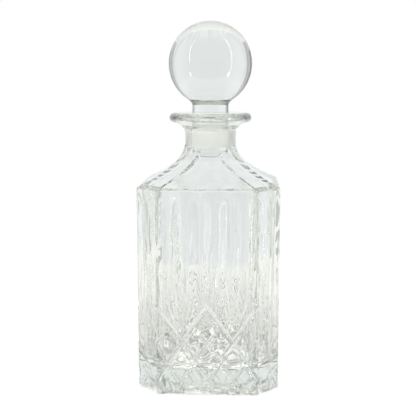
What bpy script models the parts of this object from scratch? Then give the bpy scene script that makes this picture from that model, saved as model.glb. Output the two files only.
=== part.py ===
"""A square glass decanter with a ball stopper, modelled at its real size.

Three separate pieces: the hollow glass body, the solid glass stopper, and the soft
sealing sleeve that sits on the stopper's plug and closes the gap to the neck's bore.
Run it with: blender --background --python part.py, or from Blender's text editor.
Units are metres, +Z is up, and the origin is under the centre of the base.
"""

import math

import bmesh
import bpy

MM = 0.001

# Driving dimensions of the body
BODY_WIDTH = 90 * MM
CORNER_CUT = 13.3 * MM  # how far the flat corner cuts run along each side
SHOULDER_HEIGHT = 130.7 * MM  # where the flat sides end
EDGE_ROUNDING = 1.6 * MM
WALL = 5.5 * MM
SHOULDER_WALL = 2 * MM  # from the end of the flat sides down to the end of the inside's flat sides
BASE_THICKNESS = 13 * MM
FLOOR_ROUNDING = 9 * MM
FOOT_BEVEL = 1.0 * MM
FOOT_RECESS_RADIUS = 29 * MM
FOOT_RECESS_DEPTH = 1.2 * MM

# Driving dimensions of the neck and the mouth
NECK_RADIUS = 16.7 * MM
NECK_BOTTOM = 158 * MM  # where the shoulder's panels have run out on the round neck
NECK_TOP = 161 * MM
BORE_RADIUS = 12.4 * MM
BORE_TOP = 166 * MM
BORE_BOTTOM = 153 * MM
LIP_RADIUS = 26.7 * MM
LIP_THICKNESS = 6.3 * MM
LIP_TOP = 175.8 * MM

# Driving dimensions of the stopper and its sleeve
BALL_RADIUS = 27.1 * MM
BALL_CENTRE = 207.1 * MM
BALL_SEAT_RADIUS = 14.6 * MM  # where the ball's round ends and its fillet starts
SHANK_RADIUS = 11.8 * MM
SHANK_TOP = 181.5 * MM
SHANK_FILLET = 1.0 * MM
SHANK_BOTTOM = 168.5 * MM
PLUG_TOP_RADIUS = 11.1 * MM
PLUG_END_RADIUS = 10.6 * MM
PLUG_END = 145.6 * MM
PLUG_END_ROUNDING = 4.0 * MM
SLEEVE_WALL = 0.6 * MM
SLEEVE_TOP = 168.2 * MM
SLEEVE_TOP_BEAD = 0.15 * MM
SLEEVE_END = 153.6 * MM
RIB_COUNT = 3
RIB_SPACING = 3.4 * MM
RIB_HEIGHT = 1.2 * MM
FIRST_RIB_DEPTH = 1.2 * MM  # below the top of the bore
GAP = 0.3 * MM  # between faces that touch

PANELS = 8  # four sides and four corners
STEPS_PER_PANEL = 6
AROUND = PANELS * STEPS_PER_PANEL
SHOULDER_STEPS = 8
CURVE_STEPS = 5
MERGE_DISTANCE = 0.00001

REGULAR_OCTAGON_CUT = 2 - math.sqrt(2)  # its corner cut, as a share of half its width
CAVITY_ROUNDNESS = 0.25  # how far the blown inside's corners have drawn in towards a circle


def clear_scene():
    for obj in list(bpy.data.objects):
        bpy.data.objects.remove(obj)


def make_collection(name):
    collection = bpy.data.collections.new(name)
    bpy.context.scene.collection.children.link(collection)
    return collection


def make_material(name, colour, roughness, ior, transmission):
    material = bpy.data.materials.new(name)
    material.use_nodes = True
    shader = material.node_tree.nodes["Principled BSDF"]
    shader.inputs["Base Color"].default_value = (*colour, 1)
    shader.inputs["Roughness"].default_value = roughness
    shader.inputs["Metallic"].default_value = 0
    shader.inputs["IOR"].default_value = ior
    shader.inputs["Transmission Weight"].default_value = transmission
    return material


def add_object(collection, name, mesh, material):
    obj = bpy.data.objects.new(name, mesh)
    obj.data.materials.append(material)
    collection.objects.link(obj)
    return obj


def bezier(points, t):
    """A point on the cubic curve with these four control points, each (radius, height)."""
    weights = ((1 - t) ** 3, 3 * t * (1 - t) ** 2, 3 * t**2 * (1 - t), t**3)
    return tuple(sum(w * p[axis] for w, p in zip(weights, points)) for axis in (0, 1))


def arc(centre, radius, start_deg, end_deg, steps):
    """Points (radius, height) on an arc, both ends included. 0 degrees points outwards and 90 up."""
    angles = (math.radians(start_deg + (end_deg - start_deg) * i / steps) for i in range(steps + 1))
    return [(centre[0] + radius * math.cos(a), centre[1] + radius * math.sin(a)) for a in angles]


# ---------------------------------------------------------------- the glass body


def section(half_width, cut, roundness, height):
    """One ring of points round the axis: a square with cut corners at roundness 0, a circle at 1."""
    flat = half_width - cut
    corners = []
    for quarter in range(4):
        turn = math.radians(90 * quarter)
        for x, y in ((half_width, -flat), (half_width, flat)):
            corners.append((x * math.cos(turn) - y * math.sin(turn), x * math.sin(turn) + y * math.cos(turn)))
    ring = []
    for panel in range(PANELS):
        start, end = corners[panel], corners[(panel + 1) % PANELS]
        for step in range(STEPS_PER_PANEL):
            share = step / STEPS_PER_PANEL
            angle = 2 * math.pi * (panel + share - 0.5) / PANELS
            on_circle = (half_width * math.cos(angle), half_width * math.sin(angle))
            point = []
            for axis in (0, 1):
                on_panel = start[axis] + (end[axis] - start[axis]) * share
                point.append(on_panel + (on_circle[axis] - on_panel) * roundness)
            ring.append((point[0], point[1], height))
    return ring


def shoulder_sections(low, high, low_cut, low_roundness):
    """Rings above low that sweep in to a circle at high. low and high are (half width, height)."""
    spread = low[0] - high[0]
    rise = high[1] - low[1]
    curve = (
        low,
        (low[0] - 0.5 * spread, low[1] + 0.26 * rise),
        (high[0], high[1] - 0.5 * rise),
        high,
    )
    high_cut = high[0] * REGULAR_OCTAGON_CUT
    rings = []
    for i in range(1, SHOULDER_STEPS + 1):
        half_width, height = bezier(curve, i / SHOULDER_STEPS)
        share = (low[0] - half_width) / spread
        cut = low_cut + (high_cut - low_cut) * share
        climb = (height - low[1]) / rise
        rings.append((half_width, cut, low_roundness + (1 - low_roundness) * climb**6, height))
    return rings


def outer_sections():
    """The outside of the body from the recess under the foot up to the neck."""
    half = BODY_WIDTH / 2
    foot = half - FOOT_BEVEL
    foot_cut = CORNER_CUT - FOOT_BEVEL * REGULAR_OCTAGON_CUT
    edge = half - EDGE_ROUNDING
    rings = [
        (FOOT_RECESS_RADIUS - FOOT_RECESS_DEPTH, 0, 1, FOOT_RECESS_DEPTH),
        (FOOT_RECESS_RADIUS, 0, 1, 0),
        (foot, foot_cut, 0, 0),
        (half, CORNER_CUT, 0, FOOT_BEVEL),
    ]
    rounding = arc((edge, SHOULDER_HEIGHT - EDGE_ROUNDING), EDGE_ROUNDING, 0, 70, 3)
    rings += [(half_width, CORNER_CUT, 0, height) for half_width, height in rounding]
    rings += shoulder_sections(rounding[-1], (NECK_RADIUS, NECK_BOTTOM), CORNER_CUT, 0)
    return rings


def lip_sections():
    """The flare, the rounded lip and the funnel inside the mouth, down to the top of the bore."""
    bead = LIP_THICKNESS / 2
    bead_centre = (LIP_RADIUS - bead, LIP_TOP - bead)
    bead_arc = arc(bead_centre, bead, -70, 100, 7)
    flare = (
        (NECK_RADIUS, NECK_TOP),
        (NECK_RADIUS, NECK_TOP + 5 * MM),
        (LIP_RADIUS - 8 * MM, LIP_TOP - LIP_THICKNESS - 2 * MM),
        (LIP_RADIUS - 4.4 * MM, LIP_TOP - LIP_THICKNESS),
    )
    funnel = (
        (bead_centre[0] - 0.8 * bead, LIP_TOP - 0.2 * bead),
        (BORE_RADIUS + 6 * MM, LIP_TOP - 1.5 * bead),
        (BORE_RADIUS, BORE_TOP + 3 * MM),
        (BORE_RADIUS, BORE_TOP),
    )
    profile = [bezier(flare, i / CURVE_STEPS) for i in range(CURVE_STEPS + 1)]
    profile += bead_arc
    profile += [bezier(funnel, i / CURVE_STEPS) for i in range(CURVE_STEPS + 1)]
    return [(radius, 0, 1, height) for radius, height in profile]


def cavity_sections():
    """The inside, from the bottom of the bore down to the floor."""
    half = BODY_WIDTH / 2 - WALL
    cut = CORNER_CUT - WALL * REGULAR_OCTAGON_CUT
    top = (half, SHOULDER_HEIGHT - SHOULDER_WALL)
    rings = shoulder_sections(top, (BORE_RADIUS, BORE_BOTTOM), cut, CAVITY_ROUNDNESS)
    rings.reverse()
    rings.append((half, cut, CAVITY_ROUNDNESS, top[1] - 3 * MM))
    fillet_centre = (half - FLOOR_ROUNDING, BASE_THICKNESS + FLOOR_ROUNDING)
    for half_width, height in arc(fillet_centre, FLOOR_ROUNDING, 0, -90, 4):
        rings.append((half_width, cut * half_width / half, CAVITY_ROUNDNESS, height))
    return rings


def loft(name, rings):
    """A closed skin over rings of the same number of points, with a flat cap on the first and the last."""
    mesh = bpy.data.meshes.new(name)
    shape = bmesh.new()
    loops = [[shape.verts.new(point) for point in section(*ring)] for ring in rings]
    for lower, upper in zip(loops, loops[1:]):
        for i in range(AROUND):
            j = (i + 1) % AROUND
            shape.faces.new((lower[i], lower[j], upper[j], upper[i]))
    shape.faces.new(reversed(loops[0]))
    shape.faces.new(loops[-1])
    shape.to_mesh(mesh)
    shape.free()
    return mesh


def make_body(collection, glass):
    mesh = loft("decanter_body", outer_sections() + lip_sections() + cavity_sections())
    mesh.shade_smooth()
    mesh.set_sharp_from_angle(angle=math.radians(20))
    add_object(collection, "decanter_body", mesh, glass)


# ---------------------------------------------------------------- the turned pieces


def turned(collection, name, profile, material, closed):
    """A profile of (radius, height) points, outer side first and top to bottom, turned round the Z axis."""
    mesh = bpy.data.meshes.new(name)
    last = len(profile) - 1
    edges = [(i, i + 1) for i in range(last)]
    if closed:
        edges.append((last, 0))
    mesh.from_pydata([(radius, 0, height) for radius, height in profile], edges, [])
    obj = add_object(collection, name, mesh, material)
    screw = obj.modifiers.new("turn", "SCREW")
    screw.axis = "Z"
    screw.angle = math.radians(360)
    screw.steps = AROUND
    screw.render_steps = AROUND
    screw.use_merge_vertices = True
    screw.merge_threshold = MERGE_DISTANCE
    screw.use_smooth_shade = True


def plug_radius(height):
    share = (SHANK_BOTTOM - height) / (SHANK_BOTTOM - PLUG_END)
    return PLUG_TOP_RADIUS + (PLUG_END_RADIUS - PLUG_TOP_RADIUS) * share


def make_stopper(collection, glass):
    ball_end = math.degrees(math.asin(BALL_SEAT_RADIUS / BALL_RADIUS)) - 90
    profile = [(0, BALL_CENTRE + BALL_RADIUS)]
    profile += arc((0, BALL_CENTRE), BALL_RADIUS, 90, ball_end, 16)[1:]
    profile += [
        (SHANK_RADIUS + SHANK_FILLET, SHANK_TOP + SHANK_FILLET),
        (SHANK_RADIUS, SHANK_TOP - SHANK_FILLET),
        (SHANK_RADIUS, SHANK_BOTTOM),
        (PLUG_TOP_RADIUS, SHANK_BOTTOM),
    ]
    rounding_top = PLUG_END + PLUG_END_ROUNDING
    rounding_centre = (plug_radius(rounding_top) - PLUG_END_ROUNDING, rounding_top)
    profile += arc(rounding_centre, PLUG_END_ROUNDING, 0, -90, 4)
    profile.append((0, PLUG_END))
    turned(collection, "stopper", profile, glass, closed=False)


def make_sleeve(collection, plastic):
    """A thin tube with ribs that bear on the bore. Its inside follows the plug's taper."""

    def inner(height):
        return plug_radius(height) + GAP

    def outer(height):
        return inner(height) + SLEEVE_WALL

    rib_radius = BORE_RADIUS - GAP
    profile = [(outer(SLEEVE_TOP) + SLEEVE_TOP_BEAD, SLEEVE_TOP)]
    for rib in range(RIB_COUNT):
        top = BORE_TOP - FIRST_RIB_DEPTH - rib * RIB_SPACING
        profile += [
            (outer(top), top),
            (rib_radius, top - 0.35 * RIB_HEIGHT),
            (rib_radius, top - 0.65 * RIB_HEIGHT),
            (outer(top - RIB_HEIGHT), top - RIB_HEIGHT),
        ]
    profile += [
        (outer(SLEEVE_END), SLEEVE_END),
        (inner(SLEEVE_END), SLEEVE_END),
        (inner(SLEEVE_TOP), SLEEVE_TOP),
    ]
    turned(collection, "seal_sleeve", profile, plastic, closed=True)


def main():
    clear_scene()
    collection = make_collection("decanter")
    glass = make_material("clear_crystal_glass", (0.93, 0.95, 0.93), 0.0, 1.52, 1.0)
    plastic = make_material("milky_polythene", (0.88, 0.89, 0.86), 0.35, 1.51, 0.6)
    make_body(collection, glass)
    make_stopper(collection, glass)
    make_sleeve(collection, plastic)


main()
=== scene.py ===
# %% [markdown]
# # A square cut-glass decanter with a ball stopper
#
# The real object is three pieces: a thick glass body, a solid glass stopper, and a thin milky
# sleeve on the stopper's plug that seals the neck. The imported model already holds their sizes
# and the way they move. This script gives them their looks: finer surfaces, the cuts in the
# glass, the materials and the light. It starts by loading that model as a fixed frame.

# %% Load the frame
import math

import bpy
from mathutils import Matrix, Vector


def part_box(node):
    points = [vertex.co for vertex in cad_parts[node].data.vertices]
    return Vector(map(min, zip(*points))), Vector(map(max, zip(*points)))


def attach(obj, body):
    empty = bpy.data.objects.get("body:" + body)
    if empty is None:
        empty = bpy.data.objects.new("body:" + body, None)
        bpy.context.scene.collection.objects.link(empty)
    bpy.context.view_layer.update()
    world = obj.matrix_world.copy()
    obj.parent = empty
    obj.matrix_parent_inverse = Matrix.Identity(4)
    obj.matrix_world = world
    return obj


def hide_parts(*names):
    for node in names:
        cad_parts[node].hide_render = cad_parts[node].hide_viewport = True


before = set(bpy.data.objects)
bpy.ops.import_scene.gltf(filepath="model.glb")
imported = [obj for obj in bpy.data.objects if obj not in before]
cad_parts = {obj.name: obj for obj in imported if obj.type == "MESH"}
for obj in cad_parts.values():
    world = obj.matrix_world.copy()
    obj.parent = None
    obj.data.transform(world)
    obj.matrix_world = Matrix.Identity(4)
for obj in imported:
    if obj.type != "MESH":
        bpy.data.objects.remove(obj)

bpy.context.view_layer.update()

# %% [markdown]
# ## Sizes
#
# The frame gives the outer sizes, so that nothing here has to be fitted. The rest are the real
# decanter's own measures, in millimetres, turned into metres where they are named.

# %% Read the sizes of the pieces
MM = 0.001
body_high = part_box("decanter_body")[1]
sleeve_low, sleeve_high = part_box("seal_sleeve")
stopper_low, stopper_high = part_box("stopper")
HALF = body_high.x
LIP_TOP = body_high.z
BALL_RADIUS = stopper_high.x
BALL_CENTRE = stopper_high.z - BALL_RADIUS
PLUG_END = stopper_low.z
RIB_RADIUS = sleeve_high.x
SLEEVE_TOP = sleeve_high.z
SLEEVE_END = sleeve_low.z
print(f"body {2 * HALF / MM:.1f} mm across and {LIP_TOP / MM:.1f} mm tall")
print(f"ball {2 * BALL_RADIUS / MM:.1f} mm across")

# %% Name the body's own measures
CORNER_CUT = 13.3 * MM
FOOT_BEVEL = 1.0 * MM
SHOULDER_HEIGHT = 130.7 * MM
SHOULDER_ROUNDING = 1.6 * MM
NECK_RADIUS = 16.7 * MM
NECK_BOTTOM = 158 * MM
NECK_TOP = 161 * MM
LIP_RADIUS = 26.7 * MM
LIP_THICKNESS = 6.3 * MM
BORE_RADIUS = 12.4 * MM
BORE_TOP = 166 * MM
BORE_BOTTOM = 153 * MM
WALL = 5.5 * MM
SHOULDER_WALL = 2 * MM  # from the top of the sides down to the top of the inside's walls
BASE_THICKNESS = 13 * MM
OCTAGON = 2 - math.sqrt(2)  # the corner cut of a regular octagon, as a share of half its width

# %% [markdown]
# ## Helpers for modelling by hand
#
# Each piece is made as one would make it at the keyboard: add a primitive, go to edit mode,
# select, extrude, move, scale, and finish with modifiers that are applied. An operator acts on
# everything that is selected, so each helper starts from nothing selected.


# %% Select, and apply modifiers
def only(piece):
    """Selects this piece alone and makes it the active one."""
    bpy.ops.object.select_all(action="DESELECT")
    piece.select_set(True)
    bpy.context.view_layer.objects.active = piece


def finish_with(piece, kind, **settings):
    """Adds a modifier with these settings and applies it."""
    only(piece)
    modifier = piece.modifiers.new(kind.lower(), kind)
    for name, value in settings.items():
        setattr(modifier, name, value)
    bpy.ops.object.modifier_apply(modifier=modifier.name)


def arc(centre, radius, start, end, steps):
    """Points (radius, height) on an arc. 0 degrees points outwards and 90 up."""
    angles = [math.radians(start + (end - start) * i / steps) for i in range(steps + 1)]
    return [(centre[0] + radius * math.cos(a), centre[1] + radius * math.sin(a)) for a in angles]


def bezier(points, steps):
    """Points on the cubic curve with these four control points, both ends included."""
    curve = []
    for i in range(steps + 1):
        t = i / steps
        weights = ((1 - t) ** 3, 3 * t * (1 - t) ** 2, 3 * t**2 * (1 - t), t**3)
        curve.append(tuple(sum(w * p[axis] for w, p in zip(weights, points)) for axis in (0, 1)))
    return curve


# %% [markdown]
# A turned form is made like a pot on a wheel. It starts as a circle, and its edge is extruded,
# moved up or down the axis and scaled, ring after ring. With 128 points round it is a smooth
# neck or ball. With only 4 points it is a spindle with a diamond section, which is the shape
# that a mitred cutting wheel takes out of glass.


# %% Turn a form by extruding rings
def pull_ring(start, points):
    """Edit mode: pulls the selected ring through these (radius, height) points."""
    radius, height = start
    for next_radius, next_height in points:
        bpy.ops.mesh.extrude_edges_indiv()
        bpy.ops.transform.translate(value=(0, 0, next_height - height))
        grow = next_radius / radius
        bpy.ops.transform.resize(value=(grow, grow, 1), center_override=(0, 0, next_height))
        radius, height = next_radius, next_height


def close_with_pole():
    """Edit mode: closes the selected ring with a fan of triangles that meet on the axis."""
    bpy.ops.mesh.extrude_edges_indiv()
    bpy.ops.mesh.merge(type="CENTER")


def turn(name, points, around):
    """A closed form turned from (radius, height) points, with a pole at each end."""
    bpy.ops.object.select_all(action="DESELECT")
    radius, height = points[0]
    bpy.ops.mesh.primitive_circle_add(vertices=around, radius=radius, location=(0, 0, height))
    piece = bpy.context.active_object
    piece.name = name
    bpy.ops.object.transform_apply(location=True, rotation=True, scale=True)
    bpy.ops.object.mode_set(mode="EDIT")
    bpy.ops.mesh.select_all(action="SELECT")
    pull_ring(points[0], points[1:])
    close_with_pole()
    select_ring(points[0][1], points[0][0])
    close_with_pole()
    make_faces_point_out()
    bpy.ops.object.mode_set(mode="OBJECT")
    print(f"{name}: {len(piece.data.polygons)} faces")
    return piece


def select_ring(height, radius, slack=0.01 * MM):
    """Edit mode: selects the ring of points at this height and distance from the axis."""
    bpy.ops.mesh.select_all(action="DESELECT")
    bpy.ops.object.mode_set(mode="OBJECT")
    mesh = bpy.context.active_object.data
    for vertex in mesh.vertices:
        reach = math.hypot(vertex.co.x, vertex.co.y)
        vertex.select = abs(vertex.co.z - height) < slack and abs(reach - radius) < slack
    for edge in mesh.edges:
        edge.select = all(mesh.vertices[i].select for i in edge.vertices)
    bpy.ops.object.mode_set(mode="EDIT")


def make_faces_point_out():
    """Edit mode: welds doubles, then turns every face outwards."""
    bpy.ops.mesh.select_all(action="SELECT")
    bpy.ops.mesh.remove_doubles(threshold=0.001 * MM)
    bpy.ops.mesh.normals_make_consistent(inside=False)


# %% [markdown]
# ## The glass body
#
# The body is pressed in a square mould with cut corners. Above the sides its section changes
# step by step from that square to the round neck, so the outside is a stack of sections: each is
# a square plane whose corners are bevelled away, and the stack is bridged into one skin. Every
# ridge between two panels keeps a small rounding, because polished glass has no knife edge.

# %% Make one section of the body
RIDGE_ROUNDING = 0.45 * MM


def edges_where(test):
    """Edit mode: selects the edges of the active piece whose two end points pass the test."""
    bpy.ops.mesh.select_all(action="DESELECT")
    bpy.ops.object.mode_set(mode="OBJECT")
    mesh = bpy.context.active_object.data
    chosen = 0
    for edge in mesh.edges:
        points = [mesh.vertices[i].co for i in edge.vertices]
        edge.select = test(points)
        if edge.select:
            chosen += 1
            for i in edge.vertices:
                mesh.vertices[i].select = True
    bpy.ops.object.mode_set(mode="EDIT")
    return chosen


def add_section(half, cut, roundness, height, side_cuts):
    """A ring of edges: a square with cut corners at roundness 0, and a circle at roundness 1."""
    bpy.ops.object.select_all(action="DESELECT")
    bpy.ops.mesh.primitive_plane_add(size=2 * half, location=(0, 0, height))
    ring = bpy.context.active_object
    bpy.ops.object.transform_apply(location=True, rotation=True, scale=True)
    bpy.ops.object.mode_set(mode="EDIT")
    bpy.ops.mesh.select_all(action="SELECT")
    bpy.ops.mesh.bevel(offset=cut, affect="VERTICES")
    bpy.ops.mesh.select_all(action="SELECT")
    bpy.ops.mesh.bevel(offset=RIDGE_ROUNDING, segments=2, affect="VERTICES")
    bpy.ops.mesh.select_all(action="SELECT")
    bpy.ops.mesh.delete(type="ONLY_FACE")
    edges_where(lambda points: (points[0] - points[1]).length > 2 * RIDGE_ROUNDING)
    bpy.ops.mesh.subdivide(number_cuts=side_cuts)
    bpy.ops.mesh.select_all(action="SELECT")
    round_ring(roundness, half)
    bpy.ops.object.mode_set(mode="OBJECT")
    return ring


def round_ring(roundness, half):
    """Edit mode: draws the selected ring in towards a circle, and keeps it as wide as it was."""
    if roundness == 0:
        return
    bpy.ops.transform.tosphere(value=roundness)
    bpy.ops.object.mode_set(mode="OBJECT")
    mesh = bpy.context.active_object.data
    ring = [v.co for v in mesh.vertices if v.select]
    across = max(co.x for co in ring)
    height = ring[0].z
    bpy.ops.object.mode_set(mode="EDIT")
    fit = half / across
    bpy.ops.transform.resize(value=(fit, fit, 1), center_override=(0, 0, height))


def stack(name, sections, side_cuts):
    """Bridges sections, given from the bottom up as (half, cut, roundness, height), into a tube."""
    rings = [add_section(*section, side_cuts) for section in sections]
    bpy.ops.object.select_all(action="DESELECT")
    for ring in rings:
        ring.select_set(True)
    tube = rings[0]
    bpy.context.view_layer.objects.active = tube
    bpy.ops.object.join()
    tube.name = name
    bpy.ops.object.mode_set(mode="EDIT")
    bpy.ops.mesh.select_all(action="SELECT")
    bpy.ops.mesh.bridge_edge_loops()
    bpy.ops.object.mode_set(mode="OBJECT")
    print(f"{name}: {len(sections)} sections, {len(tube.data.polygons)} faces")
    return tube


def select_height(height, slack=0.001 * MM):
    """Edit mode: selects the ring that lies at this height."""
    edges_where(lambda points: all(abs(p.z - height) < slack for p in points))


# %% Work out the sections of the shoulder
SHOULDER_STEPS = 24
LATE = 6  # the higher, the nearer to the neck the panels turn into a round


def shoulder(low, high, low_cut, low_roundness):
    """Sections above low, sweeping in to a circle at high. Both are (half width, height)."""
    spread = low[0] - high[0]
    rise = high[1] - low[1]
    curve = bezier(
        (
            low,
            (low[0] - 0.5 * spread, low[1] + 0.26 * rise),
            (high[0], high[1] - 0.5 * rise),
            high,
        ),
        SHOULDER_STEPS,
    )
    sections = []
    for half, height in curve[1:]:
        share = (low[0] - half) / spread
        cut = low_cut + (high[0] * OCTAGON - low_cut) * share
        climb = (height - low[1]) / rise
        sections.append((half, cut, low_roundness + (1 - low_roundness) * climb**LATE, height))
    return sections


rounding_centre = (HALF - SHOULDER_ROUNDING, SHOULDER_HEIGHT - SHOULDER_ROUNDING)
rounding = arc(rounding_centre, SHOULDER_ROUNDING, 0, 70, 5)
outside = [(HALF, CORNER_CUT, 0, FOOT_BEVEL)]
outside += [(half, CORNER_CUT, 0, height) for half, height in rounding]
outside += shoulder(rounding[-1], (NECK_RADIUS, NECK_BOTTOM), CORNER_CUT, 0)
print(f"{len(outside)} sections from the foot to the neck")

# %% [markdown]
# From the top of the shoulder the neck is round. Its ring is pulled up through the flare, round
# the rolled lip and down into the funnel of the mouth. The foot is pulled in the other way, to a
# flat rim and a shallow recess that keeps the middle of the base off the table.

# %% Pull the neck and the foot out of the stack
FOOT_RECESS_RADIUS = 29 * MM
FOOT_RECESS_DEPTH = 1.2 * MM
SIDE_CUTS = 9

blank = stack("blank", outside, SIDE_CUTS)
bead = LIP_THICKNESS / 2
under_lip = LIP_TOP - LIP_THICKNESS
flare = bezier(
    (
        (NECK_RADIUS, NECK_TOP),
        (NECK_RADIUS, NECK_TOP + 5 * MM),
        (LIP_RADIUS - 8 * MM, under_lip - 2 * MM),
        (LIP_RADIUS - 4.4 * MM, under_lip),
    ),
    14,
)
funnel = bezier(
    (
        (LIP_RADIUS - 1.8 * bead, LIP_TOP - 0.2 * bead),
        (BORE_RADIUS + 6 * MM, LIP_TOP - 1.5 * bead),
        (BORE_RADIUS + 0.3 * MM, BORE_TOP + 3 * MM),
        (BORE_RADIUS - 1.2 * MM, BORE_TOP - 0.2 * MM),
    ),
    14,
)
lip = arc((LIP_RADIUS - bead, LIP_TOP - bead), bead, -70, 100, 20)
only(blank)
bpy.ops.object.mode_set(mode="EDIT")
select_height(NECK_BOTTOM)
pull_ring((NECK_RADIUS, NECK_BOTTOM), flare + lip + funnel)
close_with_pole()
select_height(FOOT_BEVEL)
pull_ring((HALF, FOOT_BEVEL), [(HALF - FOOT_BEVEL, 0), (FOOT_RECESS_RADIUS, 0)])
round_ring(1, FOOT_RECESS_RADIUS)
pull_ring((FOOT_RECESS_RADIUS, 0), [(FOOT_RECESS_RADIUS - FOOT_RECESS_DEPTH, FOOT_RECESS_DEPTH)])
close_with_pole()
make_faces_point_out()
side_low = FOOT_BEVEL - MM
side_high = SHOULDER_HEIGHT - SHOULDER_ROUNDING + MM / 2
edges_where(lambda points: all(side_low < p.z < side_high for p in points))
bpy.ops.mesh.dissolve_limited(angle_limit=math.radians(0.5))
bpy.ops.object.mode_set(mode="OBJECT")
print("blank:", len(blank.data.polygons), "faces,", [round(v / MM, 2) for v in blank.dimensions], "mm")

# %% [markdown]
# ## The cuts in the sides
#
# Each side carries the same cut pattern. Its lower half is a lattice of grooves, one pitch apart,
# whose upper edge is a large W of wider grooves. Fans of long pointed lances rise from the valleys
# of the W, and three more stand over its middle peak. The grooves are cut with an olive wheel,
# whose round edge leaves a bright rounded band, and the lances with a mitred wheel, whose sharp
# edge leaves a V with pointed ends. So each cutter is a spindle, half of it sunk in the glass,
# with many sides for an olive cut and with four for a mitred one. The front side's cutters are
# made first, then joined and copied to the other three sides.

# %% Make the cutters
PITCH = 15.85 * MM
GROOVE_SLOPE = 12 / 7.925  # rise over run
LATTICE_ROW = 33.3 * MM
LATTICE_FOOT = 2.2 * MM
LATTICE_TOP = 41 * MM
PEAK = LATTICE_ROW + PITCH * GROOVE_SLOPE
FACE_HALF = HALF - CORNER_CUT
MITRE = 4  # points round a cutter with a sharp edge
OLIVE = 28  # points round a cutter with a round edge
PROUD = 0.15 * MM  # the cutters' middle stays this far outside the glass, so no edge lies in its face


def spindle(name, length, width, depth, shape, around):
    """A cutter along +Z from the origin. shape gives (share of length, share of width) pairs."""
    points = [(max(share * width / 2, 0.02 * MM), along * length) for along, share in shape]
    cutter = turn(name, points, around)
    only(cutter)
    cutter.scale = (1, 2 * depth / width, 1)
    bpy.ops.object.transform_apply(scale=True)
    return cutter


def groove(name, low, high, width, depth):
    """A straight olive-cut groove between two (x, height) points of a side, with rounded ends."""
    run, rise = high[0] - low[0], high[1] - low[1]
    length = math.hypot(run, rise)
    tip = width / length
    near_end = [(0, 0), (tip / 2, 0.7), (tip, 1)]
    far_end = [(1 - along, share) for along, share in reversed(near_end)]
    cutter = spindle(name, length, width, depth, near_end + far_end, OLIVE)
    place(cutter, low, math.atan2(run, rise))
    return cutter


LANCE_STEPS = 16


def lance(name, low, high, width, depth):
    """A long pointed cut, widest below its middle, between two (x, height) points of a side."""
    run, rise = high[0] - low[0], high[1] - low[1]
    length = math.hypot(run, rise)
    shares = [i / LANCE_STEPS for i in range(LANCE_STEPS + 1)]
    shape = [(along, math.sin(math.pi * along**0.75) ** 0.8) for along in shares]
    cutter = spindle(name, length, width, depth, shape, MITRE)
    place(cutter, low, math.atan2(run, rise))
    return cutter


def place(cutter, low, tilt):
    """Leans the cutter in the plane of the front side and moves its lower end to its place."""
    only(cutter)
    cutter.rotation_euler.y = tilt
    cutter.location = (low[0], -HALF - PROUD, low[1])
    bpy.ops.object.transform_apply(location=True, rotation=True)


def on_all_sides(cutters):
    """Joins these cutters and copies them to the other three sides, as one object."""
    bpy.ops.object.select_all(action="DESELECT")
    for cutter in cutters:
        cutter.select_set(True)
    front = cutters[0]
    bpy.context.view_layer.objects.active = front
    if len(cutters) > 1:
        bpy.ops.object.join()
    sides = [front]
    for quarter in (1, 2, 3):
        only(front)
        bpy.ops.object.duplicate()
        side = bpy.context.active_object
        side.rotation_euler.z = math.radians(90 * quarter)
        bpy.ops.object.transform_apply(rotation=True)
        sides.append(side)
    bpy.ops.object.select_all(action="DESELECT")
    for side in sides:
        side.select_set(True)
    bpy.context.view_layer.objects.active = front
    bpy.ops.object.join()
    return front


def cut(piece, cutter):
    """Takes the cutter out of the piece and throws the cutter away."""
    before = len(piece.data.polygons)
    finish_with(piece, "BOOLEAN", object=cutter, operation="DIFFERENCE", solver="EXACT")
    bpy.data.objects.remove(cutter)
    print(f"{piece.name}: {before} faces, now {len(piece.data.polygons)}")


# %% Lay out the lattice
OVERRUN = 3 * MM  # how far the wheel runs on past the edge of a side
WIDE = 4.6 * MM
NARROW = 3.3 * MM
GROOVE_DEPTH = 0.42  # share of the width
UNLIKE_DEPTH = 0.02  # grooves that lean right are this share deeper, so crossing ones share no edge


def lattice_line(start, lean, top, width):
    """One groove through (start, LATTICE_ROW), leaning right for lean 1 and left for lean -1."""

    def x_at(height):
        return start + lean * (height - LATTICE_ROW) / GROOVE_SLOPE

    def height_at(x):
        return LATTICE_ROW + (x - start) * lean * GROOVE_SLOPE

    edge = FACE_HALF + OVERRUN
    low = max(LATTICE_FOOT, height_at(-lean * edge))
    high = min(top, height_at(lean * edge))
    depth = GROOVE_DEPTH * width * (1.0 + UNLIKE_DEPTH * lean)
    return groove("groove", (x_at(low), low), (x_at(high), high), width, depth)


W_TOP = PEAK + 2.2 * MM
for lean in (1, -1):
    wide = [lattice_line(k * PITCH, lean, W_TOP, WIDE) for k in (-1, 1)]
    narrow = [lattice_line(k * PITCH, lean, LATTICE_TOP, NARROW) for k in (-2, 0, 2)]
    foot = [lattice_line(lean * 3 * PITCH, lean, LATTICE_TOP, WIDE)]
    cut(blank, on_all_sides(wide + narrow + foot))

# %% Lay out the lances
LANCE_WIDTH = 2.7 * MM
LANCE_DEPTH = 0.75 * MM
FAN_TIPS = {0: 88, 1: 82.5, 2: 75, 3: 67}  # their height in mm, from a fan's middle outwards
FAN_SPREAD = 5.6 * MM
PLUME_TIP = 102


def fan(centre, step):
    """The lance that stands this many steps to the right of a fan's middle one."""
    out = abs(step)
    low = (centre + 0.9 * step * MM, LATTICE_ROW + (3.5 + 1.2 * out) * MM)
    high = (centre + step * (FAN_SPREAD - 0.55 * out * MM), FAN_TIPS[out] * MM)
    return lance("lance", low, high, LANCE_WIDTH, LANCE_DEPTH)


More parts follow.
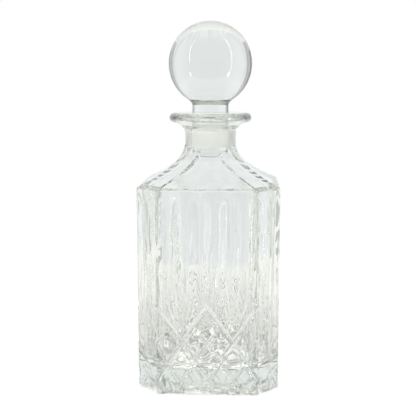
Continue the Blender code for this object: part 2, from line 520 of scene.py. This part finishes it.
def plume(step):
    """The lance over the peak of the W that stands this many steps to the right."""
    out = abs(step)
    low = (0.7 * step * MM, PEAK + (1.5 + 0.8 * out) * MM)
    high = (3.4 * step * MM, (PLUME_TIP - 6 * out) * MM)
    return lance("lance", low, high, LANCE_WIDTH, LANCE_DEPTH)


# Lances next to each other meet at their roots, so they are cut in different rounds.
for steps in ((0, 2), (1, 3), (-1, -3), (-2,)):
    cutters = [fan(centre * PITCH, step) for centre in (-1, 1) for step in steps]
    cutters += [plume(step) for step in steps if abs(step) < 2]
    cut(blank, on_all_sides(cutters))

# %% [markdown]
# ## The hollow
#
# The inside was blown against nothing, so it is rounder than the outside and not even. Its flat
# walls carry wide upright flutes, which fade out towards the corners, the floor and the shoulder,
# and over them run long waves and a fine upright ripple. They draw what is behind the glass out
# into wobbly streaks. The hollow is another stack of sections. Each kind of waviness is a Displace
# modifier whose texture is stretched along the height, and a vertex group says where it may act.
# The hollow is taken out of the cut body last.

# %% Blow the hollow
INSIDE_HALF = HALF - WALL
INSIDE_CUT = CORNER_CUT - WALL * OCTAGON
INSIDE_ROUNDNESS = 0.25
FLOOR_ROUNDING = 9 * MM
INSIDE_TOP = SHOULDER_HEIGHT - SHOULDER_WALL
RING_SPACING = 2.5 * MM

floor_arc_centre = (INSIDE_HALF - FLOOR_ROUNDING, BASE_THICKNESS + FLOOR_ROUNDING)
floor_arc = arc(floor_arc_centre, FLOOR_ROUNDING, -90, 0, 8)
inside = []
for half, height in floor_arc:
    inside.append((half, INSIDE_CUT * half / INSIDE_HALF, INSIDE_ROUNDNESS, height))
upright_from = floor_arc[-1][1]
rings = round((INSIDE_TOP - upright_from) / RING_SPACING)
for i in range(1, rings + 1):
    height = upright_from + (INSIDE_TOP - upright_from) * i / rings
    inside.append((INSIDE_HALF, INSIDE_CUT, INSIDE_ROUNDNESS, height))
inside_top = (INSIDE_HALF, INSIDE_TOP)
inside += shoulder(inside_top, (BORE_RADIUS, BORE_BOTTOM), INSIDE_CUT, INSIDE_ROUNDNESS)

# %% Close it into the bore above and the floor below
FINE_SIDE_CUTS = 47
BORE_RINGS = 6
DISH_DEPTH = 0.7 * MM
DISH_STEPS = 8
hollow = stack("hollow", inside, FINE_SIDE_CUTS)
only(hollow)
bpy.ops.object.mode_set(mode="EDIT")
select_height(BORE_BOTTOM)
bore = [(BORE_RADIUS, BORE_BOTTOM + step * 3 * MM) for step in range(1, BORE_RINGS + 1)]
pull_ring((BORE_RADIUS, BORE_BOTTOM), bore)
close_with_pole()
select_height(BASE_THICKNESS)
floor_half = floor_arc[0][0]
dish = []
for i in range(1, DISH_STEPS):
    share = i / DISH_STEPS
    sunk = DISH_DEPTH * math.sin(math.pi / 2 * share)
    dish.append((floor_half * (1 - share), BASE_THICKNESS - sunk))
pull_ring((floor_half, BASE_THICKNESS), dish)
close_with_pole()
make_faces_point_out()
bpy.ops.object.mode_set(mode="OBJECT")

# %% Choose where its wall may wander
WALL_LOW = BASE_THICKNESS + 6 * MM
WALL_HIGH = SHOULDER_HEIGHT - 1 * MM
WALL_FADE = 10 * MM
FLUTE_EDGE = 26 * MM
FLUTE_FADE = 8 * MM


def between(value, low, high, fade):
    """1 well inside the range from low to high, falling to 0 at its ends."""
    return max(0, min((value - low) / fade, (high - value) / fade, 1))


EVERYWHERE = 0.08  # share of the waves and ripples that the floor and the shoulder keep
names = ("wall", "front_and_back", "left_and_right")
groups = {name: hollow.vertex_groups.new(name=name) for name in names}
for vertex in hollow.data.vertices:
    x, y, z = vertex.co
    upright = between(z, WALL_LOW, WALL_HIGH, WALL_FADE)
    edge = FLUTE_EDGE + FLUTE_FADE
    weights = (
        max(upright, EVERYWHERE),
        upright * between(x, -edge, edge, FLUTE_FADE),
        upright * between(y, -edge, edge, FLUTE_FADE),
    )
    for name, weight in zip(names, weights):
        groups[name].add([vertex.index], weight, "REPLACE")

# %% Let its wall wander
def wander(piece, group, texture, size, height):
    """Pushes the wall in and out by a texture stretched to this size along X, Y and Z."""
    stretch = bpy.data.objects.new("stretch", None)
    bpy.context.scene.collection.objects.link(stretch)
    stretch.scale = size
    bpy.context.view_layer.update()
    finish_with(
        piece,
        "DISPLACE",
        texture=texture,
        texture_coords="OBJECT",
        texture_coords_object=stretch,
        vertex_group=group,
        strength=height,
        mid_level=0.5,
    )
    bpy.data.objects.remove(stretch)


noise = bpy.data.textures.new("noise", "CLOUDS")
noise.noise_scale = 1.0
noise.noise_depth = 0
WAVE = (7 * MM, 7 * MM, 60 * MM)
WAVE_HEIGHT = 0.6 * MM
RIPPLE = (2.4 * MM, 2.4 * MM, 9 * MM)
RIPPLE_HEIGHT = 0.3 * MM
flutes = bpy.data.textures.new("flutes", "WOOD")
FLUTE_PITCH = 19 * MM
FLUTE_HEIGHT = 2.4 * MM
ACROSS = FLUTE_PITCH * 10 / (2 * math.pi)  # the texture's waves are 2 pi / 10 apart
ALONG = 1000 * ACROSS
wander(hollow, "front_and_back", flutes, (ACROSS, ALONG, ALONG), FLUTE_HEIGHT)
wander(hollow, "left_and_right", flutes, (ALONG, ACROSS, ALONG), FLUTE_HEIGHT)
wander(hollow, "wall", noise, WAVE, WAVE_HEIGHT)
wander(hollow, "wall", noise, RIPPLE, RIPPLE_HEIGHT)
inner = [(v.co.x, v.co.y) for v in hollow.data.vertices]
print("hollow's half widths, in mm:", [round(max(xy[axis] for xy in inner) / MM, 2) for axis in (0, 1)])

# %% Hollow the body out
CRISP = math.radians(18)  # a cut's edge turns by more than this and stays crisp
cut(blank, hollow)
body = blank
body.name = "decanter_glass"
only(body)
bpy.ops.object.shade_smooth_by_angle(angle=CRISP)

# %% [markdown]
# ## The stopper
#
# The stopper is one solid piece of glass: a ball, a short shank, and a plug with a rounded tip.
# A sphere makes the ball. Its underside is bisected away, and the open rim is pulled down into
# the fillet, the shank and the plug.

# %% Make the stopper
BALL_SEAT_RADIUS = 14.6 * MM
SHANK_RADIUS = 11.8 * MM
SHANK_TOP = 181.5 * MM
SHANK_BOTTOM = 168.5 * MM
PLUG_TOP_RADIUS = 11.1 * MM
PLUG_END_RADIUS = 10.6 * MM
PLUG_ROUNDING = 4 * MM
AROUND = 128  # points round a turned piece
TURNED_CRISP = math.radians(35)


def plug_radius(height):
    """The tapered plug's radius at this height."""
    share = (SHANK_BOTTOM - height) / (SHANK_BOTTOM - PLUG_END)
    return PLUG_TOP_RADIUS + (PLUG_END_RADIUS - PLUG_TOP_RADIUS) * share


seat = BALL_CENTRE - math.sqrt(BALL_RADIUS**2 - BALL_SEAT_RADIUS**2)
bpy.ops.object.select_all(action="DESELECT")
bpy.ops.mesh.primitive_uv_sphere_add(
    segments=AROUND,
    ring_count=96,
    radius=BALL_RADIUS,
    location=(0, 0, BALL_CENTRE),
)
stopper = bpy.context.active_object
stopper.name = "stopper_glass"
bpy.ops.object.transform_apply(location=True)
bpy.ops.object.mode_set(mode="EDIT")
bpy.ops.mesh.select_all(action="SELECT")
bpy.ops.mesh.bisect(plane_co=(0, 0, seat), plane_no=(0, 0, 1), clear_inner=True)
select_height(seat)
fillet = bezier(
    (
        (BALL_SEAT_RADIUS, seat),
        (SHANK_RADIUS + 0.9 * MM, SHANK_TOP + 1.1 * MM),
        (SHANK_RADIUS, SHANK_TOP + 0.6 * MM),
        (SHANK_RADIUS, SHANK_TOP - 1.0 * MM),
    ),
    10,
)
tip_top = PLUG_END + PLUG_ROUNDING
shank = [(SHANK_RADIUS, SHANK_BOTTOM + 0.3 * MM), (SHANK_RADIUS - 0.3 * MM, SHANK_BOTTOM)]
plug = [(PLUG_TOP_RADIUS, SHANK_BOTTOM), (plug_radius(tip_top), tip_top)]
tip = arc((plug_radius(tip_top) - PLUG_ROUNDING, tip_top), PLUG_ROUNDING, 0, -90, 10)[1:]
pull_ring((BALL_SEAT_RADIUS, seat), fillet[1:] + shank + plug + tip)
close_with_pole()
make_faces_point_out()
bpy.ops.object.mode_set(mode="OBJECT")
only(stopper)
bpy.ops.object.shade_smooth_by_angle(angle=TURNED_CRISP)
print("stopper:", len(stopper.data.polygons), "faces")

# %% [markdown]
# ## The sealing sleeve
#
# Glass on glass sticks or leaks, so the plug wears a thin sleeve of milky polythene. It is a
# moulded tube with three ribs that press on the bore. A circle is extruded down its outside, over
# the ribs, round its lower end and back up its inside, until the last ring meets the first.

# %% Turn the sleeve
SLEEVE_GAP = 0.3 * MM
SLEEVE_WALL = 0.6 * MM
RIB_COUNT = 3
RIB_SPACING = 3.4 * MM
RIB_HEIGHT = 1.2 * MM
RIB_STEPS = 8
FIRST_RIB_DEPTH = 1.2 * MM


def sleeve_radius(height):
    """The radius of the sleeve's outside between its ribs, at this height."""
    return plug_radius(height) + SLEEVE_GAP + SLEEVE_WALL


profile = [
    (sleeve_radius(SLEEVE_TOP) - 0.1 * MM, SLEEVE_TOP),
    (sleeve_radius(SLEEVE_TOP), SLEEVE_TOP - 0.1 * MM),
]
for rib in range(RIB_COUNT):
    top = BORE_TOP - FIRST_RIB_DEPTH - rib * RIB_SPACING
    middle = top - RIB_HEIGHT / 2
    foot_radius = sleeve_radius(middle)
    profile.append((foot_radius, top + 0.2 * MM))
    for i in range(RIB_STEPS + 1):
        share = i / RIB_STEPS
        swell = math.sin(math.pi * share)
        profile.append((foot_radius + (RIB_RADIUS - foot_radius) * swell, top - RIB_HEIGHT * share))
    profile.append((foot_radius, top - RIB_HEIGHT - 0.2 * MM))
profile += [
    (sleeve_radius(SLEEVE_END), SLEEVE_END + 0.15 * MM),
    (sleeve_radius(SLEEVE_END) - 0.15 * MM, SLEEVE_END),
    (plug_radius(SLEEVE_END) + SLEEVE_GAP, SLEEVE_END),
    (plug_radius(SLEEVE_TOP) + SLEEVE_GAP, SLEEVE_TOP),
]


def turn_tube(name, points, around):
    """A tube turned from points that run down its outside and up its inside."""
    bpy.ops.object.select_all(action="DESELECT")
    radius, height = points[0]
    bpy.ops.mesh.primitive_circle_add(vertices=around, radius=radius, location=(0, 0, height))
    tube = bpy.context.active_object
    tube.name = name
    bpy.ops.object.transform_apply(location=True)
    bpy.ops.object.mode_set(mode="EDIT")
    bpy.ops.mesh.select_all(action="SELECT")
    pull_ring(points[0], points[1:] + points[:1])
    make_faces_point_out()
    bpy.ops.object.mode_set(mode="OBJECT")
    return tube


sleeve = turn_tube("seal_sleeve_moulded", profile, AROUND)
only(sleeve)
bpy.ops.object.shade_smooth_by_angle(angle=TURNED_CRISP)
print("sleeve:", len(sleeve.data.polygons), "faces")

# %% [markdown]
# ## Materials
#
# Colours are written as the sRGB hex values that a colour picker shows, and one function turns
# them into the linear values that a shader wants. One small function adds a node, with its
# inputs in order or by name.


# %% Colours and nodes
def colour(code):
    """Linear colour from an sRGB hex code such as #E8ECE6."""
    channels = [int(code[i : i + 2], 16) / 255 for i in (1, 3, 5)]
    linear = [c / 12.92 if c <= 0.04045 else ((c + 0.055) / 1.055) ** 2.4 for c in channels]
    return (*linear, 1)


def node(material, kind, *ordered, settings=None, **named):
    """Adds a node. An input is a value, or an output of another node, which is linked to it."""
    tree = material.node_tree
    added = tree.nodes.new(kind)
    for name, value in (settings or {}).items():
        setattr(added, name, value)
    inputs = dict(enumerate(ordered))
    for name, value in named.items():
        inputs[name.replace("_", " ")] = value
    for place, value in inputs.items():
        if isinstance(value, bpy.types.NodeSocket):
            tree.links.new(value, added.inputs[place])
        else:
            added.inputs[place].default_value = value
    return added


def empty_material(name):
    """A new material that has no nodes yet."""
    material = bpy.data.materials.new(name)
    material.use_nodes = True
    material.node_tree.nodes.clear()
    return material


# %% [markdown]
# The body and the stopper are clear crystal glass, pressed, cut and polished. To the eye it is
# almost nothing: sharp reflections, what lies behind it bent out of place, and a faint grey-green
# where it is thick. A picture of reflections would go wrong as soon as the piece moved, so it is
# real refraction with a little absorption, and a slight bump draws the marks of the mould.

# %% Clear pressed glass
DRAW_MARKS = (1 / (2.2 * MM), 1 / (2.2 * MM), 1 / (30 * MM))  # 2.2 mm across and 30 mm up


def clear_glass():
    """Clear crystal: almost neutral in the depth, with draw marks too fine to be modelled."""
    glass = empty_material("clear_pressed_and_cut_glass")
    place_in = node(glass, "ShaderNodeTexCoord")
    drawn = node(glass, "ShaderNodeMapping", Vector=place_in.outputs["Object"], Scale=DRAW_MARKS)
    marks = node(
        glass,
        "ShaderNodeTexNoise",
        Vector=drawn.outputs["Vector"],
        Scale=1.0,
        Detail=2.0,
        Roughness=0.5,
    )
    relief = node(glass, "ShaderNodeBump", Height=marks.outputs["Fac"], Strength=0.12, Distance=0.2 * MM)
    shader = node(
        glass,
        "ShaderNodeBsdfPrincipled",
        Base_Color=colour("#FDFEFD"),
        Roughness=0.0,
        IOR=1.52,
        Transmission_Weight=1.0,
        Normal=relief.outputs["Normal"],
    )
    tint = node(glass, "ShaderNodeVolumeAbsorption", Color=colour("#E7ECE6"), Density=8.0)
    node(glass, "ShaderNodeOutputMaterial", Surface=shader.outputs["BSDF"], Volume=tint.outputs["Volume"])
    return glass


# %% [markdown]
# The bore is ground true with a turning cone and grit. That leaves a fine matt skin, which lights
# up white round the plug and hides what is behind it. It is the same glass with a rough surface
# that scatters most of the light. The grit is drawn coarser than it is, so that it shows at all.

# %% Ground glass
GRIT = 0.5 * MM


def ground_glass():
    """The bore as the grinding cone leaves it: a fine matt skin that scatters what crosses it."""
    glass = empty_material("ground_glass_bore")
    place_in = node(glass, "ShaderNodeTexCoord")
    where = place_in.outputs["Object"]
    grit = node(glass, "ShaderNodeTexNoise", Vector=where, Scale=1 / GRIT, Detail=3.0)
    relief = node(glass, "ShaderNodeBump", Height=grit.outputs["Fac"], Strength=0.3, Distance=0.1 * MM)
    shader = node(
        glass,
        "ShaderNodeBsdfPrincipled",
        Base_Color=colour("#FAFAF8"),
        Roughness=0.55,
        IOR=1.52,
        Transmission_Weight=0.3,
        Normal=relief.outputs["Normal"],
    )
    node(glass, "ShaderNodeOutputMaterial", Surface=shader.outputs["BSDF"])
    return glass


# %% [markdown]
# The sleeve is natural low-density polythene. It is milky because light scatters inside it, and
# thin enough for the glass behind it to show through. Scattering in so thin a wall is slow to
# trace, so it is a whitish satin skin that lets part of the light straight through.

# %% Milky polythene
SPARK_GRAIN = 0.6 * MM
CLOUD = 9 * MM


def milky_polythene():
    """Natural low-density polythene: milky, soft and slightly waxy, from a spark-eroded mould."""
    plastic = empty_material("milky_moulded_polythene")
    place_in = node(plastic, "ShaderNodeTexCoord")
    where = place_in.outputs["Object"]
    grain = node(plastic, "ShaderNodeTexNoise", Vector=where, Scale=1 / SPARK_GRAIN, Detail=2.0)
    bumps = grain.outputs["Fac"]
    relief = node(plastic, "ShaderNodeBump", Height=bumps, Strength=0.15, Distance=0.05 * MM)
    cloud = node(plastic, "ShaderNodeTexNoise", Vector=where, Scale=1 / CLOUD, Detail=1.0)
    tone = node(plastic, "ShaderNodeValToRGB", Fac=cloud.outputs["Fac"])
    tone.color_ramp.elements[0].color = colour("#F2F3EE")
    tone.color_ramp.elements[1].color = colour("#F8F9F5")
    shader = node(
        plastic,
        "ShaderNodeBsdfPrincipled",
        Base_Color=tone.outputs["Color"],
        Roughness=0.42,
        IOR=1.51,
        Alpha=0.55,
        Normal=relief.outputs["Normal"],
    )
    node(plastic, "ShaderNodeOutputMaterial", Surface=shader.outputs["BSDF"])
    return plastic


# %% Dress the pieces
def dress(piece, material):
    """Gives the piece this one material."""
    piece.data.materials.clear()
    piece.data.materials.append(material)


glass = clear_glass()
polythene = milky_polythene()
dress(body, glass)
dress(stopper, glass)
dress(sleeve, polythene)
for piece in (body, stopper, sleeve):
    print(piece.name, "is made of", piece.data.materials[0].name)

# %% Grind the bore
BORE_SLACK = 0.35 * MM  # how far a face's centre may be from the true bore
body.data.materials.append(ground_glass())
ground = 0
for face in body.data.polygons:
    on_bore = abs(math.hypot(face.center.x, face.center.y) - BORE_RADIUS) < BORE_SLACK
    if on_bore and SLEEVE_END < face.center.z < BORE_TOP + 0.2 * MM:
        face.material_index = 1
        ground += 1
print("ground faces of the bore:", ground)

# %% [markdown]
# ## Riding on the bodies
#
# Each piece stands for its CAD node and moves with its body: the sleeve and the stopper lift
# together, and the stopper turns in the sleeve.

# %% Tie the pieces to the frame
for piece, body_name, cad_node, slot in (
    (body, "decanter", "decanter_body", "clear_glass"),
    (stopper, "stopper", "stopper", "clear_glass"),
    (sleeve, "seal", "seal_sleeve", "milky_polythene"),
):
    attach(piece, body_name)
    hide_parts(cad_node)
    print(piece.name, "rides on", body_name)

# %% [markdown]
# ## The stage
#
# Clear glass shows little of itself: what is seen is the room, bent by it. So the decanter stands
# in a small light tent, as for a catalogue: white cloth on every side, rows of small lamps beside
# the opening, and a darker room beyond the opening. The backdrop is painted darker in its middle
# and lighter towards its sides, with painted shading of soft folds low down, and a dark rod stands
# on each side; they give the glass something to draw lines from. The camera itself sees only white,
# because the tent is hidden from its rays.


# %% Walls of the tent
def glow(lit, strength, code, fill=0.0):
    """Makes a lit sheet. fill is what it gives to matt surfaces beyond what shows in the glass."""
    path = node(lit, "ShaderNodeLightPath")
    after_matt = node(
        lit,
        "ShaderNodeMath",
        path.outputs["Diffuse Depth"],
        0.5,
        settings={"operation": "GREATER_THAN"},
    )
    total = node(
        lit,
        "ShaderNodeMath",
        after_matt.outputs[0],
        fill,
        strength,
        settings={"operation": "MULTIPLY_ADD"},
    )
    light = node(lit, "ShaderNodeEmission", Color=colour(code), Strength=total.outputs[0])
    node(lit, "ShaderNodeOutputMaterial", Surface=light.outputs["Emission"])
    return lit


def screen(name, size, location, rotation, material):
    """A flat sheet of the stage, which only reflections and refractions show."""
    bpy.ops.object.select_all(action="DESELECT")
    bpy.ops.mesh.primitive_plane_add(size=1, location=location, rotation=rotation)
    sheet = bpy.context.active_object
    sheet.name = name
    sheet.scale = (size[0], size[1], 1)
    sheet.visible_camera = False
    sheet.visible_diffuse = False
    sheet.visible_shadow = False
    dress(sheet, material)
    print(f"{sheet.name}: {size[0]:.2f} by {size[1]:.2f} m")
    return sheet


UPRIGHT = math.radians(90)
TENT_SIDE = 0.34
TENT_BACK = 0.30
TENT_FRONT = -0.22
TENT_TOP = 0.80
TENT_DEPTH = TENT_BACK - TENT_FRONT
TENT_MIDDLE = (TENT_BACK + TENT_FRONT) / 2
cloth = glow(empty_material("white_tent_cloth"), strength=0.58, code="#FDFDFB")

# %% Backdrop with painted side light and painted fold shading
# Painted light and shade: the flat backdrop is painted darker in its middle and lighter towards its
# sides.
SHADE_HALF = 75 * MM  # half the width of its evenly lit middle
SHADE_FADE = 110 * MM  # how far it then takes to grow lighter
MIDDLE_LIGHT = 0.92
EDGE_LIGHT = 0.06
# Painted shading of soft folds low in the backdrop, which is a flat sheet.
FOLD = 22 * MM
FOLD_LIGHT = 0.5
FOLD_MEAN = 0.45  # the noise value that leaves the light as it is
FOLDS_UP_TO = 0.14

backdrop = empty_material("white_backdrop")
place_in = node(backdrop, "ShaderNodeTexCoord")
apart = node(backdrop, "ShaderNodeSeparateXYZ", Vector=place_in.outputs["Object"])
off_middle = node(backdrop, "ShaderNodeMath", apart.outputs["X"], settings={"operation": "ABSOLUTE"})
rise = node(
    backdrop,
    "ShaderNodeMapRange",
    settings={"interpolation_type": "SMOOTHSTEP"},
    Value=off_middle.outputs[0],
    From_Min=SHADE_HALF / (2 * TENT_SIDE),
    From_Max=(SHADE_HALF + SHADE_FADE) / (2 * TENT_SIDE),
    To_Min=MIDDLE_LIGHT,
    To_Max=MIDDLE_LIGHT + EDGE_LIGHT,
)
# Painted fold shading: noise across the backdrop, only near its foot.
painted_fold_shade = node(
    backdrop,
    "ShaderNodeTexNoise",
    settings={"noise_dimensions": "1D"},
    W=apart.outputs["X"],
    Scale=2 * TENT_SIDE / FOLD,
    Detail=1.0,
)
low = node(
    backdrop,
    "ShaderNodeMapRange",
    Value=apart.outputs["Y"],
    From_Min=-0.5,
    From_Max=-0.5 + FOLDS_UP_TO / TENT_TOP,
    To_Min=FOLD_LIGHT,
    To_Max=0.0,
)
centred = node(
    backdrop,
    "ShaderNodeMath",
    painted_fold_shade.outputs["Fac"],
    FOLD_MEAN,
    settings={"operation": "SUBTRACT"},
)
# The backdrop's painted light: lighter sides plus painted fold shading.
painted_backdrop_light = node(
    backdrop,
    "ShaderNodeMath",
    centred.outputs[0],
    low.outputs["Result"],
    rise.outputs["Result"],
    settings={"operation": "MULTIPLY_ADD"},
)
glow(backdrop, strength=painted_backdrop_light.outputs[0], code="#FBFDFF")

# %% Hang the tent
ROD_WIDTH = 0.07
ROD_PLACE = 0.14  # how far behind the decanter
ROD_FOOT = 0.10
OFF_WALL = 0.01  # a sheet in front of a wall stands this far from it
OPENING = (0.26, 0.22)
OPENING_CENTRE = (0.03, TENT_FRONT + OFF_WALL, 0.14)
roof = glow(empty_material("lit_tent_roof"), strength=0.8, code="#FFFFFF")
flap = glow(empty_material("tent_flap"), strength=0.28, code="#F6F8F6", fill=4.6)
room = glow(empty_material("dark_room"), strength=0.05, code="#C8B48C")
rod = glow(empty_material("tent_rod"), strength=0.01, code="#B0B8A8")
for side in (-1, 1):
    wall_centre = (side * TENT_SIDE, TENT_MIDDLE, TENT_TOP / 2)
    rod_centre = (side * (TENT_SIDE - OFF_WALL), ROD_PLACE, (ROD_FOOT + TENT_TOP) / 2)
    screen("tent_side", (TENT_TOP, TENT_DEPTH), wall_centre, (0, UPRIGHT, 0), cloth)
    screen("tent_rod", (ROD_WIDTH, TENT_TOP - ROD_FOOT), rod_centre, (UPRIGHT, 0, UPRIGHT), rod)
screen("tent_back", (2 * TENT_SIDE, TENT_TOP), (0, TENT_BACK, TENT_TOP / 2), (UPRIGHT, 0, 0), backdrop)
screen("tent_roof", (2 * TENT_SIDE, TENT_DEPTH), (0, TENT_MIDDLE, TENT_TOP), (0, 0, 0), roof)
screen("tent_flap", (2 * TENT_SIDE, TENT_TOP), (0, TENT_FRONT, TENT_TOP / 2), (UPRIGHT, 0, 0), flap)
screen("tent_opening", OPENING, OPENING_CENTRE, (UPRIGHT, 0, 0), room)

# %% [markdown]
# The lamps are small and strong, in rows that lean back beside the opening. They leave the fine
# bright lines that cut glass is liked for. The left row starts higher than the right one, because
# its lowest lamps would fill whole lances with white.

# %% Rows of lamps beside the opening
LAMP = 13 * MM
LAMP_PITCH = 30 * MM
LAMP_POWER = 24
ROW_FOOT = (0.262, -0.187)
ROW_LEAN = (0.045, 0.11, 0.8)
ROW_FACING = (-0.82, 0.57, 0)
lamp_light = glow(empty_material("lamp"), strength=LAMP_POWER, code="#FFFFFF")
for side, pitch, count, low_end in (
    (-1, LAMP_PITCH, 19, 0.23),
    (1, LAMP_PITCH, 26, 0.02),
    (-1, LAMP_PITCH / 2, 4, 0.035),
    (1, LAMP_PITCH / 2, 4, 0.035),
):
    row = screen("lamp_row", (1, 1), (0, 0, 0), (0, 0, 0), lamp_light)
    only(row)
    row.scale = (LAMP, LAMP, 1)
    bpy.ops.object.transform_apply(location=False, rotation=False, scale=True)
    finish_with(
        row,
        "ARRAY",
        count=count,
        use_relative_offset=False,
        use_constant_offset=True,
        constant_offset_displace=(pitch, 0, 0),
    )
    along = Vector((side * ROW_LEAN[0], ROW_LEAN[1], ROW_LEAN[2])).normalized()
    facing = Vector((side * ROW_FACING[0], ROW_FACING[1], ROW_FACING[2])).normalized()
    across = facing.cross(along).normalized()
    facing = along.cross(across)
    row.matrix_world = Matrix((along, across, facing)).transposed().to_4x4()
    row.location = (side * ROW_FOOT[0], ROW_FOOT[1], low_end)

# %% [markdown]
# The floor is matt white paper. What the glass sees of it is painted darker near the foot, a painted
# shadow of the decanter. Sunlit cut glass also throws a net of bright lines round its foot. Lamps as
# small as these would make one, but a path tracer can't find it, so a painted net of light stands in
# for it. Only the glass sees the painted shadow and the painted net.

# %% Floor
FLOOR_DROP = 0.2 * MM
FLOOR_SIZE = 6
CAMERA_LIGHT = 0.84  # added to the matt paper for the camera, so that it shows as white
# Painted shade: the glass sees the floor darker near the foot, a painted shadow of the decanter.
SHADE_NEAR = 0.09  # up to this far from the middle, the glass sees SHADE_LIGHT
SHADE_FAR = 0.27  # and from here on FAR_LIGHT
SHADE_LIGHT = 0.52
FAR_LIGHT = 0.80
# A painted net of caustic light round the foot, which only the glass sees.
NET_CELL = 12 * MM
NET_BEND = 16 * MM  # how far its veins wander
NET_VEIN = 0.16  # half a vein's width, as a share of a cell
NET_LIGHT = 0.7  # what a vein adds
NET_START = 0.05  # the net fades from here
NET_END = 0.13  # to here

paper = empty_material("matt_white_paper")
path = node(paper, "ShaderNodeLightPath")
sheet = node(paper, "ShaderNodeBsdfDiffuse", Color=colour("#808080"))
seen = node(paper, "ShaderNodeEmission", Color=colour("#FFFFFF"), Strength=CAMERA_LIGHT)
place_in = node(paper, "ShaderNodeTexCoord")
where = place_in.outputs["Object"]
away = node(paper, "ShaderNodeVectorMath", where, settings={"operation": "LENGTH"})
# Painted shadow of the decanter: darkest near the middle, lighter further out.
painted_shade = node(
    paper,
    "ShaderNodeMapRange",
    Value=away.outputs["Value"],
    From_Min=SHADE_NEAR / FLOOR_SIZE,
    From_Max=SHADE_FAR / FLOOR_SIZE,
    To_Min=SHADE_LIGHT,
    To_Max=FAR_LIGHT,
)
wobble = node(paper, "ShaderNodeTexNoise", Vector=where, Scale=FLOOR_SIZE / NET_BEND, Detail=1.0)
bent = node(
    paper,
    "ShaderNodeVectorMath",
    wobble.outputs["Color"],
    (NET_BEND / FLOOR_SIZE,) * 3,
    where,
    settings={"operation": "MULTIPLY_ADD"},
)
# Painted caustics: bright lines along the edges of the cells.
net = node(
    paper,
    "ShaderNodeTexVoronoi",
    settings={"feature": "DISTANCE_TO_EDGE"},
    Vector=bent.outputs[0],
    Scale=FLOOR_SIZE / NET_CELL,
)
painted_caustic_vein = node(
    paper,
    "ShaderNodeMapRange",
    settings={"interpolation_type": "SMOOTHSTEP"},
    Value=net.outputs["Distance"],
    From_Min=0.0,
    From_Max=NET_VEIN,
    To_Min=NET_LIGHT,
    To_Max=-0.3 * NET_LIGHT,
)
reach = node(
    paper,
    "ShaderNodeMapRange",
    Value=away.outputs["Value"],
    From_Min=NET_START / FLOOR_SIZE,
    From_Max=NET_END / FLOOR_SIZE,
    To_Min=1.0,
    To_Max=0.0,
)
painted_shade_and_caustics = node(
    paper,
    "ShaderNodeMath",
    painted_caustic_vein.outputs["Result"],
    reach.outputs["Result"],
    painted_shade.outputs["Result"],
    settings={"operation": "MULTIPLY_ADD"},
)
# What the glass sees of the floor: painted shade and painted caustic light.
mirrored = node(paper, "ShaderNodeEmission", Color=colour("#FFFEFA"), Strength=painted_shade_and_caustics.outputs[0])
tone = node(
    paper,
    "ShaderNodeMixShader",
    path.outputs["Is Camera Ray"],
    mirrored.outputs["Emission"],
    seen.outputs["Emission"],
)
total = node(paper, "ShaderNodeAddShader", tone.outputs[0], sheet.outputs[0])
node(paper, "ShaderNodeOutputMaterial", Surface=total.outputs[0])
floor = screen("floor", (FLOOR_SIZE, FLOOR_SIZE), (0, 0, -FLOOR_DROP), (0, 0, 0), paper)
floor.visible_camera = True
floor.visible_diffuse = True

# %% White room round the tent
world = bpy.data.worlds.new("white_room")
bpy.context.scene.world = world
world.use_nodes = True
background = world.node_tree.nodes["Background"]
background.inputs["Color"].default_value = colour("#FFFFFF")
background.inputs["Strength"].default_value = 1.0

# %% [markdown]
# The camera stands a little higher than the lip and slightly to the right. It looks down at the
# middle of the decanter through a long lens. Light crosses many surfaces in cut glass, so many
# bounces are allowed.

# %% Camera
CAMERA_DISTANCE = 0.5076
CAMERA_AZIMUTH = math.radians(2.84)
CAMERA_ELEVATION = math.radians(9.12)
AIM_HEIGHT = 0.1126
AIM_SIDE = -0.0016
FOCAL_LENGTH = 65.9
back = Vector(
    (
        math.sin(CAMERA_AZIMUTH) * math.cos(CAMERA_ELEVATION),
        -math.cos(CAMERA_AZIMUTH) * math.cos(CAMERA_ELEVATION),
        math.sin(CAMERA_ELEVATION),
    )
)
side = Vector((math.cos(CAMERA_AZIMUTH), math.sin(CAMERA_AZIMUTH), 0))
lens = bpy.data.cameras.new("camera")
lens.sensor_width = 36
lens.lens = FOCAL_LENGTH
lens.clip_start = 0.01
camera = bpy.data.objects.new("camera", lens)
camera.location = back * CAMERA_DISTANCE + Vector((0, 0, AIM_HEIGHT)) + side * AIM_SIDE
camera.rotation_euler = (-back).to_track_quat("-Z", "Y").to_euler()
bpy.context.scene.collection.objects.link(camera)
bpy.context.scene.camera = camera
print("camera at", [round(v, 3) for v in camera.location])

scene = bpy.context.scene
scene.view_settings.view_transform = "Standard"
scene.cycles.max_bounces = 64
scene.cycles.transmission_bounces = 64
scene.cycles.diffuse_bounces = 32
scene.cycles.glossy_bounces = 16
scene.cycles.transparent_max_bounces = 16

# %% Update the view layer
bpy.context.view_layer.update()
